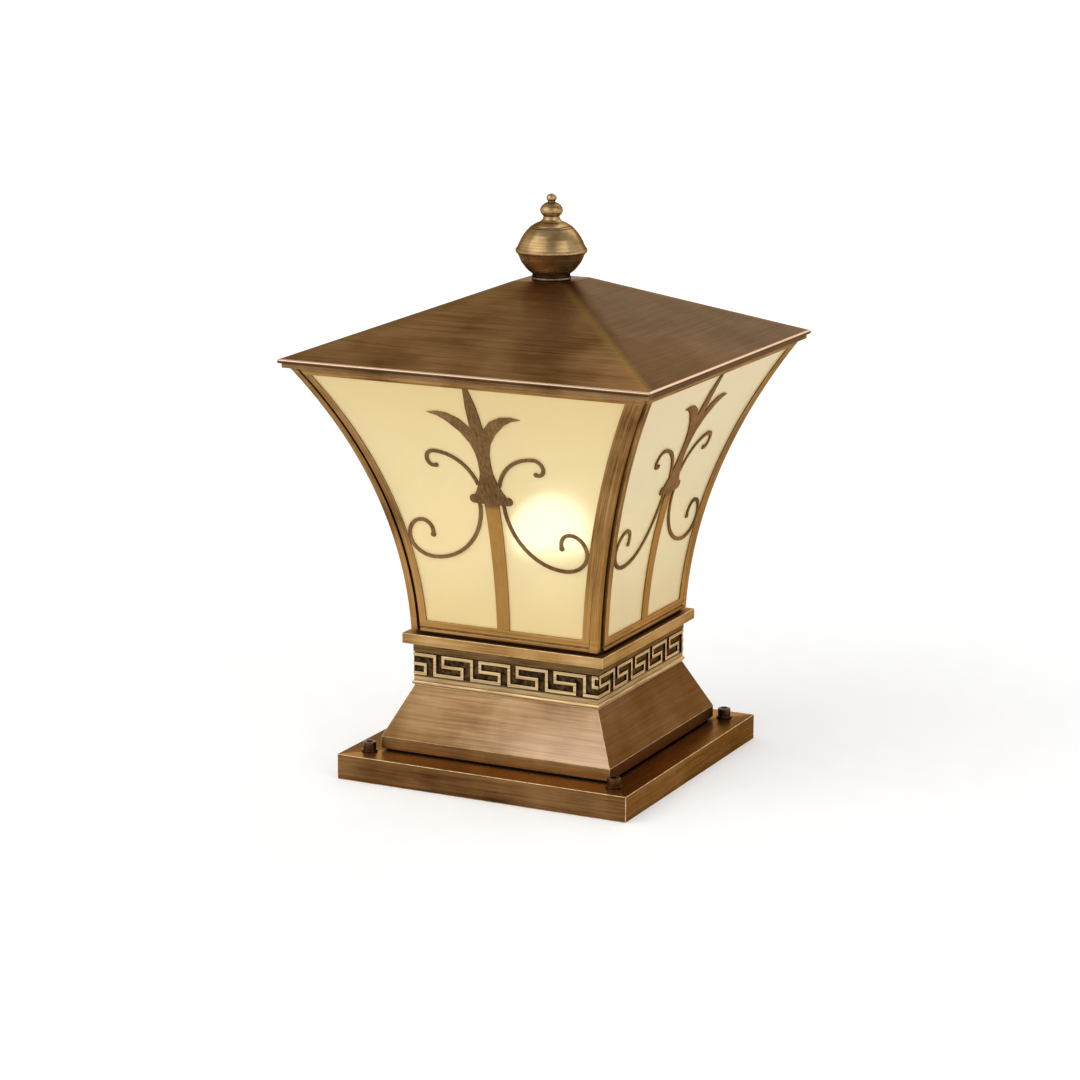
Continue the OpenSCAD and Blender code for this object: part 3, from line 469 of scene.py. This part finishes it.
def warm_foot(s, colour):
    """Posts and frames turn more golden towards their feet."""
    z = s.split(s.position)[2]
    return s.mix(s.between(z, *FOOT_FADE, FOOT_SHARE, 0.0), colour, FOOT_GOLD)


def warm_stem(s, colour):
    """The ornament's stem is rubbed golden below its cup."""
    along, _, z = face_coordinates(s)
    stem = s.below(s.size(along), STEM_HALF)
    golden = s.product(stem, s.between(z, *STEM_FADE, STEM_SHARE, 0.0))
    return s.mix(golden, colour, STEM_GOLD)


def slope_sheen_and_shade(s, colour):
    """Painted sheen: front and back of the skirt are paler to the foot and the right. Painted shade:
    they are darker to the left, and the flanks are browner.
    """
    x, y, z = s.split(s.position)
    rightward = s.product(x, s.math("SIGN", s.product(y, -1.0)))
    down = s.between(z, SKIRT_LIP, SKIRT_TOP, 1.0, SHEEN_TOP)
    slope = s.product(s.above(z, SKIRT_LIP), s.rest(flank_share(s)))
    pale = s.product(s.between(rightward, *SHEEN_FADE), s.product(down, SHEEN_SHARE))
    colour = s.mix(s.product(slope, pale), colour, SLOPE_SHEEN)
    left = s.product(slope, s.between(rightward, *SLOPE_SHADE_FADE, SLOPE_SHADE_SHARE, 0.0))
    return shaded_flanks(s, s.mix(left, colour, SLOPE_SHADE))


def golden_front(s, colour):
    """Front and back of the base plate's top are more golden than its sides."""
    upward = s.above(s.split(s.normal)[2], FACING_UP)
    top = s.product(upward, s.rest(flank_share(s)))
    return s.mix(s.product(top, PLATE_SHARE), colour, PLATE_GOLD)


def brushed(name, grain, tones, accent=None, rough=0.36, streaks=1.0, patina_and_shade=0.8, cloud=22.0,
            rim=EDGE_TINT):
    """Antique brushed metal: streaks along the grain, cloudy patina, and crevices darkened as patina
    and painted shade.
    """
    s = Shader(name)
    vector = grain(s)
    streak = s.noise(vector, roughness=0.55)
    hair = s.noise(vector, scale=3.1, detail=2.0, roughness=0.7)
    patina = s.noise(s.position, scale=cloud, roughness=0.5)
    broad, fine = STREAK_SHARE * streaks, HAIR_SHARE * streaks
    value = s.sum(s.product(streak, broad), s.product(hair, fine))
    value = s.sum(value, s.product(patina, CLOUD_SHARE))
    value = s.sum(value, NOISE_MEAN * (1 - broad - fine - CLOUD_SHARE))
    colour = s.ramp(value, METAL_PLACES, tones)
    if accent:
        colour = accent(s, colour)
    # Patina and painted shade in grooves and inner corners
    hollow_patina_shade = s.between(s.crevice(CREVICE_REACH), *CREVICE_FADE, 1 - patina_and_shade, 1.0)
    s.set(Base_Color=s.times(colour, hollow_patina_shade), Metallic=METALLIC, Specular_Tint=rim)
    s.polish(value, rough + 0.10, rough - 0.04)
    s.bump(s.sum(streak, s.product(hair, HAIR_DEPTH)), depth=0.05 * MM, strength=0.35)
    return s.material


def rubbed_and_highlit(name, colour, rough=0.3):
    """Rubbed-bright metal for edges, painted lighter as edge highlights too."""
    s = Shader(name)
    edge_mottle = s.noise(s.position, scale=160.0)
    s.set(Base_Color=s.ramp(edge_mottle, RUBBED_HIGHLIT_PLACES, (darker(colour, 0.55), colour)))
    s.set(Metallic=RUBBED_HIGHLIT_METALLIC, Specular_Tint=EDGE_TINT)
    s.polish(edge_mottle, rough + 0.12, rough)
    s.bump(edge_mottle, depth=0.04 * MM, strength=0.3)
    return s.material


def relief(name):
    """Frieze: bright bars and beads, brown bands and a dark field behind the key pattern."""
    s = Shader(name)
    along, out, z = face_coordinates(s)
    streak = s.noise(s.scaled((along, out, z), (2 * ALONG, ACROSS, ACROSS)))
    fleck = s.noise(s.position, scale=240.0, detail=2.0)
    bright = s.ramp(streak, BAND_PLACES, RAISED_TONES)
    brown = s.ramp(streak, BAND_PLACES, BAND_TONES)
    field = s.ramp(fleck, FIELD_PLACES, FIELD_TONES)
    rail = s.within(z, BEAD_TOP, RAIL_TOP)
    brown = s.mix(s.product(rail, RAIL_SHARE), brown, bright)
    # Painted shade: the line under the key pattern is darkened
    line = s.within(z, LINE_LOW, KEY_LOW)
    brown = s.times(brown, s.pick(line, 1.0, LINE_SHADE))
    in_key = s.within(z, KEY_LOW, KEY_HIGH)
    bead = s.below(z, BEAD_TOP)
    colour = s.mix(s.math("MAXIMUM", in_key, bead), brown, bright)
    sunk = s.product(in_key, s.rest(s.above(out, FIELD_HALF)))
    colour = s.mix(sunk, colour, field)
    # Painted shade in the key pattern's grooves and corners
    colour = s.times(colour, s.between(s.crevice(KEY_REACH), *KEY_FADE, KEY_SHADE, 1.0))
    s.set(Base_Color=colour, Metallic=FRIEZE_METALLIC, Specular_Tint=EDGE_TINT)
    s.polish(streak, first=0.48, last=0.32)
    s.bump(streak, depth=0.04 * MM, strength=0.3)
    return s.material


def plain(name, colour, rough, metallic=0.0, grain=90.0, spread=0.18, bump=0.03):
    """Simple moulded, cast or plated finish with a fine mottle."""
    s = Shader(name)
    mottle = s.noise(s.position, scale=grain, roughness=0.55)
    tones = (darker(colour, 1 - spread), colour)
    s.set(Base_Color=s.ramp(mottle, NOISE_LIMITS, tones), Metallic=metallic)
    s.polish(mottle, rough + 0.07, rough - 0.05)
    s.bump(mottle, depth=bump * MM, strength=0.4)
    return s.material


def frosted_glass(name):
    """Cream frosted glass, whose painted glow is even in strength and deeper yellow towards foot and
    head, and which shows the lamp behind it as a soft spot.
    """
    s = Shader(name)
    z = s.split(s.position)[2]
    sand = s.noise(s.position, scale=900.0, detail=2.0)
    drift = s.noise(s.position, scale=9.0, detail=2.0, roughness=0.5)
    foot = s.between(z, *GLASS_FOOT_FADE, 1.0, 0.0)
    head = s.between(z, *GLASS_HEAD_FADE, 0.0, HEAD_SHARE)
    ends = s.math("MULTIPLY", s.sum(foot, head), ENDS_SHARE, clamp=True)
    tint = s.mix(ends, GLASS_MIDDLE, GLASS_ENDS)
    tint = s.mix(s.product(drift, GLASS_CLOUD_SHARE), tint, GLASS_CLOUD)
    s.set(Base_Color=s.mix(SURFACE_SHARE, tint, GLASS_SURFACE))
    s.set(Emission_Color=tint, Emission_Strength=GLASS_GLOW)
    s.set(Transmission_Weight=GLASS_CLEAR, IOR=GLASS_IOR)
    s.polish(sand, first=0.22, last=0.27)
    s.bump(sand, depth=0.02 * MM, strength=0.06)
    return s.material


def lamp_glass(name):
    """Opal bulb, lit from inside. Its neck stays dim."""
    s = Shader(name)
    cloud = s.noise(s.position, scale=30.0, detail=2.0, roughness=0.5)
    z = s.split(s.position)[2]
    level = s.between(z, *LAMP_FADE, BULB_NECK_GLOW, BULB_GLOW)
    s.set(Base_Color=s.ramp(cloud, NOISE_LIMITS, OPAL_TONES), Roughness=0.25)
    s.set(Emission_Color=LAMP_LIGHT, Emission_Strength=level)
    return s.material


def make_materials():
    """All materials, by the short names of MATERIAL_OF."""
    return {
        "roof": brushed("roof_copper", grain_round, ROOF_TONES, roof_marks, rough=0.30,
                        streaks=0.75, patina_and_shade=0.5),
        "base": brushed("base_copper", grain_round, BASE_SHADE_TONES, golden_front, rough=0.24,
                        streaks=0.8),
        "skirt": brushed("skirt_copper", grain_round, SKIRT_TONES, slope_sheen_and_shade, rough=0.34,
                         streaks=0.7),
        "sheet": brushed("sheet_copper", grain_round, COLLAR_TONES, rough=0.32, streaks=0.8),
        "frame": brushed("frame_copper", grain_frame, FRAME_TONES, warm_foot),
        "post": brushed("post_copper", grain_frame, FRAME_TONES, warm_foot, rough=0.32),
        # Painted dark reflection on the finial's rims
        "finial": brushed("finial_brass", grain_turned, FINIAL_TONES, rough=0.25, streaks=0.4,
                          cloud=60.0, rim=RIM_SHADE_TINT),
        "finial_shade": brushed("finial_shaded", grain_turned, NECK_SHADE_TONES, rough=0.18, streaks=0.4,
                               rim=RIM_SHADE_TINT),
        "ornament": brushed("ornament_bronze", grain_up, ORNAMENT_TONES, warm_stem, rough=0.45,
                            streaks=0.7, patina_and_shade=0.4),
        "relief": relief("frieze_relief"),
        # Edge materials: rubbed bright, and painted lighter as highlights and glints
        "edge": rubbed_and_highlit("edge_rubbed_highlit", srgb(226, 194, 146)),
        "edge_soft": rubbed_and_highlit("soft_edge_rubbed_highlit", srgb(178, 144, 98), rough=0.34),
        "edge_roof": rubbed_and_highlit("hip_rubbed_highlit", srgb(156, 128, 82), rough=0.34),
        "glass": frosted_glass("frosted_glass"),
        "bulb": lamp_glass("bulb_glass"),
        # The dark ring under the lantern is painted shade in the gap beneath the frames
        "shadow": plain("shadow_ring_bronze", srgb(66, 46, 30), rough=0.4, metallic=0.8, grain=300.0),
        "rubber": plain("seal_rubber", srgb(30, 28, 26), rough=0.75, grain=420.0, bump=0.05),
        "steel": plain("zinc_steel", srgb(176, 176, 170), rough=0.36, metallic=0.9, grain=120.0),
        "screw": plain("bronze_screw", srgb(84, 60, 38), rough=0.22, metallic=0.95, grain=220.0),
        "porcelain": plain("porcelain_glaze", srgb(236, 232, 222), rough=0.16, grain=40.0,
                           spread=0.05, bump=0.01),
        "brass": plain("contact_brass", srgb(206, 170, 96), rough=0.26, metallic=0.95, grain=150.0),
        "nickel": plain("cap_nickel", srgb(204, 202, 196), rough=0.24, metallic=0.95, grain=150.0),
        "terminal": plain("terminal_plastic", srgb(224, 216, 198), rough=0.42, grain=70.0,
                          spread=0.06),
        "brown": plain("wire_brown", srgb(86, 50, 26), rough=0.4, grain=200.0),
        "blue": plain("wire_blue", srgb(44, 84, 152), rough=0.4, grain=200.0),
        "green": plain("wire_green", srgb(150, 168, 48), rough=0.4, grain=200.0),
    }


# Material of each node's faces, and of its softened edges
MATERIAL_OF = {
    "roof": ("roof", "edge_roof"), "base_plate": ("base", "edge"), "skirt": ("skirt", "edge"),
    "collar": ("sheet", "edge"), "frieze_core": ("sheet", None), "lantern_ring": ("shadow", None),
    "top_ring": ("sheet", "edge_soft"), "base_gasket": ("rubber", None),
    "finial_washer": ("rubber", None), "cable_grommet": ("rubber", None),
    "mounting_screws": ("screw", "edge_soft"), "screw_washers": ("screw", "screw"),
    "lampholder": ("porcelain", "porcelain"),
    "lampholder_shell": ("brass", None), "lampholder_contact": ("brass", None),
    "earth_screw": ("brass", None), "bulb_cap": ("nickel", None), "bulb_contact": ("nickel", None),
    "bulb_envelope": ("bulb", None), "terminal_block": ("terminal", "terminal"),
    "wire_live": ("brown", None), "wire_neutral": ("blue", None), "wire_earth": ("green", None),
}
for side in SIDES:
    MATERIAL_OF["frieze_strip_" + side] = ("relief", "edge")
    MATERIAL_OF["panel_frame_" + side] = ("frame", "edge_soft")
    MATERIAL_OF["glass_" + side] = ("glass", None)
    MATERIAL_OF["ornament_" + side] = ("ornament", "edge_soft")
for corner in CORNERS:
    MATERIAL_OF["corner_post_" + corner] = ("post", "edge")
for part in ("spindle", "bowl", "band", "dome", "knob"):
    MATERIAL_OF["finial_" + part] = ("finial", "edge_soft")
# The neck gets the finial's metal in a darker copy, as painted shade
MATERIAL_OF["finial_neck"] = ("finial_shade", "finial")
for part in ("tie_rods", "tie_nuts", "crossbar", "crossbar_screws", "top_ring_screws", "roof_stud",
             "stud_nuts", "roof_seat", "glass_clips", "lampholder_bracket", "bracket_screws"):
    MATERIAL_OF[part] = ("steel", None)

# Width of the softened edges, in millimetres. Nodes that aren't named stay sharp
BEVEL_OF = {"base_plate": 0.5, "skirt": 0.3, "collar": 0.5, "roof": 0.4, "mounting_screws": 0.25,
            "screw_washers": 0.2, "lampholder": 0.6, "terminal_block": 0.5, "top_ring": 0.3}
for side in SIDES:
    BEVEL_OF["frieze_strip_" + side] = 0.3
    BEVEL_OF["panel_frame_" + side] = 0.35
    BEVEL_OF["ornament_" + side] = 0.28
for corner in CORNERS:
    BEVEL_OF["corner_post_" + corner] = 0.45
for part in ("spindle", "neck", "band"):
    BEVEL_OF["finial_" + part] = 0.2

# Sheets with many holes, whose flat faces are joined before the bevel so that it stays clean. On
# these and the folded sheets, short edges don't make the bevel of the long ones thinner
DRILLED_SHEETS = ("base_plate", "collar", "top_ring")
FOLDED_SHEETS = ("skirt", "roof")


def dress_nodes(materials):
    """Gives every CAD node its material, and softens its edges with a bevel whose material is rubbed
    bright and painted as a highlight.
    """
    for name, (face, edge) in MATERIAL_OF.items():
        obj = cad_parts[name]
        obj.data.materials.clear()
        obj.data.materials.append(materials[face])
        if name not in BEVEL_OF:
            continue
        weld = obj.modifiers.new("weld", "WELD")
        weld.merge_threshold = WELD_REACH
        if name in DRILLED_SHEETS:
            planes = obj.modifiers.new("planes", "DECIMATE")
            planes.decimate_type = "DISSOLVE"
            planes.angle_limit = FLAT_ANGLE
        bevel = obj.modifiers.new("bevel", "BEVEL")
        bevel.width = BEVEL_OF[name] * MM
        bevel.segments = BEVEL_SEGMENTS
        bevel.limit_method = "ANGLE"
        bevel.angle_limit = SMOOTH_ANGLE
        bevel.use_clamp_overlap = name not in DRILLED_SHEETS + FOLDED_SHEETS
        if edge:
            obj.data.materials.append(materials[edge])
            bevel.material = 1
        normals = obj.modifiers.new("normals", "WEIGHTED_NORMAL")
        normals.keep_sharp = False


def outward(azimuth, elevation):
    """Direction away from the lantern, from degrees. Azimuth 0 is in front, 90 on the right."""
    a, e = math.radians(azimuth), math.radians(elevation)
    return Vector((math.sin(a) * math.cos(e), -math.cos(a) * math.cos(e), math.sin(e)))


def turned(first, second, angle):
    """Two perpendicular directions, turned in their plane by degrees."""
    c, s = math.cos(math.radians(angle)), math.sin(math.radians(angle))
    return first * c + second * s, second * c - first * s


def set_camera():
    """Camera at the photograph's place, turned a little aside and rolled."""
    back = outward(CAMERA_AZIMUTH, CAMERA_ELEVATION)
    place = Vector((0, 0, CAMERA_TARGET_Z)) + back * CAMERA_DISTANCE
    right = (-back).cross(Vector((0, 0, 1))).normalized()
    up = right.cross(-back)
    right, ahead = turned(right, -back, CAMERA_YAW)
    right, up = turned(right, up, CAMERA_ROLL)
    data = bpy.data.cameras.new("camera")
    data.lens = CAMERA_LENS
    data.sensor_width = CAMERA_SENSOR
    data.clip_start, data.clip_end = CAMERA_NEAR, CAMERA_FAR
    camera = bpy.data.objects.new("camera", data)
    axes = Matrix((right, up, -ahead)).transposed().to_4x4()
    camera.matrix_world = Matrix.Translation(place) @ axes
    bpy.context.scene.collection.objects.link(camera)
    bpy.context.scene.camera = camera


def add_softbox(name, azimuth, elevation, distance, size, power):
    """Square area light that faces the lantern."""
    data = bpy.data.lights.new(name, "AREA")
    data.shape = "SQUARE"
    data.size = size
    data.energy = power
    lamp = bpy.data.objects.new(name, data)
    back = outward(azimuth, elevation)
    lamp.location = SOFTBOX_AIM + back * distance
    lamp.rotation_mode = "QUATERNION"
    lamp.rotation_quaternion = back.to_track_quat("Z", "Y")
    bpy.context.scene.collection.objects.link(lamp)


def set_world():
    """White to the eye, and a soft grey light that is brighter from the front left."""
    world = bpy.data.worlds.new("studio")
    bpy.context.scene.world = world
    world.use_nodes = True
    n = Nodes(world.node_tree)
    direction = n.add("TexCoord").outputs["Generated"]
    toward = n.add("VectorMath", direction, WORLD_BRIGHT, operation="DOT_PRODUCT").outputs["Value"]
    light = n.between(toward, *WORLD_FADE, WORLD_LOW, WORLD_HIGH)
    sky = n.between(n.split(direction)[2], *SKY_FADE, SKY_WHITE, SKY_TOP)
    background = n.add("Background", WHITE, n.pick(n.seen_directly(), light, sky))
    n.add("OutputWorld", background.outputs[0])


def add_floor():
    """Pale floor that reads as white to the camera and still takes the shadow."""
    mesh = bpy.data.meshes.new("floor")
    half = FLOOR_SIZE / 2
    corners = [(-half, -half, 0), (half, -half, 0), (half, half, 0), (-half, half, 0)]
    mesh.from_pydata(corners, [], [(0, 1, 2, 3)])
    floor = bpy.data.objects.new("floor", mesh)
    floor.location.z = -FLOOR_GAP
    bpy.context.scene.collection.objects.link(floor)
    s = Shader("floor_paper")
    paper = s.noise(s.position, scale=40.0, detail=2.0, roughness=0.5)
    x, y, _ = s.split(s.position)
    lift = s.between(s.radius(x, y), *FLOOR_FADE, FLOOR_NEAR, FLOOR_FAR)
    tones = s.ramp(paper, NOISE_LIMITS, FLOOR_GREYS)
    s.set(Base_Color=tones, Roughness=0.9, Specular_IOR_Level=0.0)
    s.set(Emission_Color=WHITE, Emission_Strength=s.product(s.seen_directly(), lift))
    mesh.materials.append(s.material)


bpy.context.scene.view_settings.view_transform = "Standard"
set_camera()
set_world()
add_floor()
for name, numbers in SOFTBOXES.items():
    add_softbox(name, *numbers)
dress_nodes(make_materials())
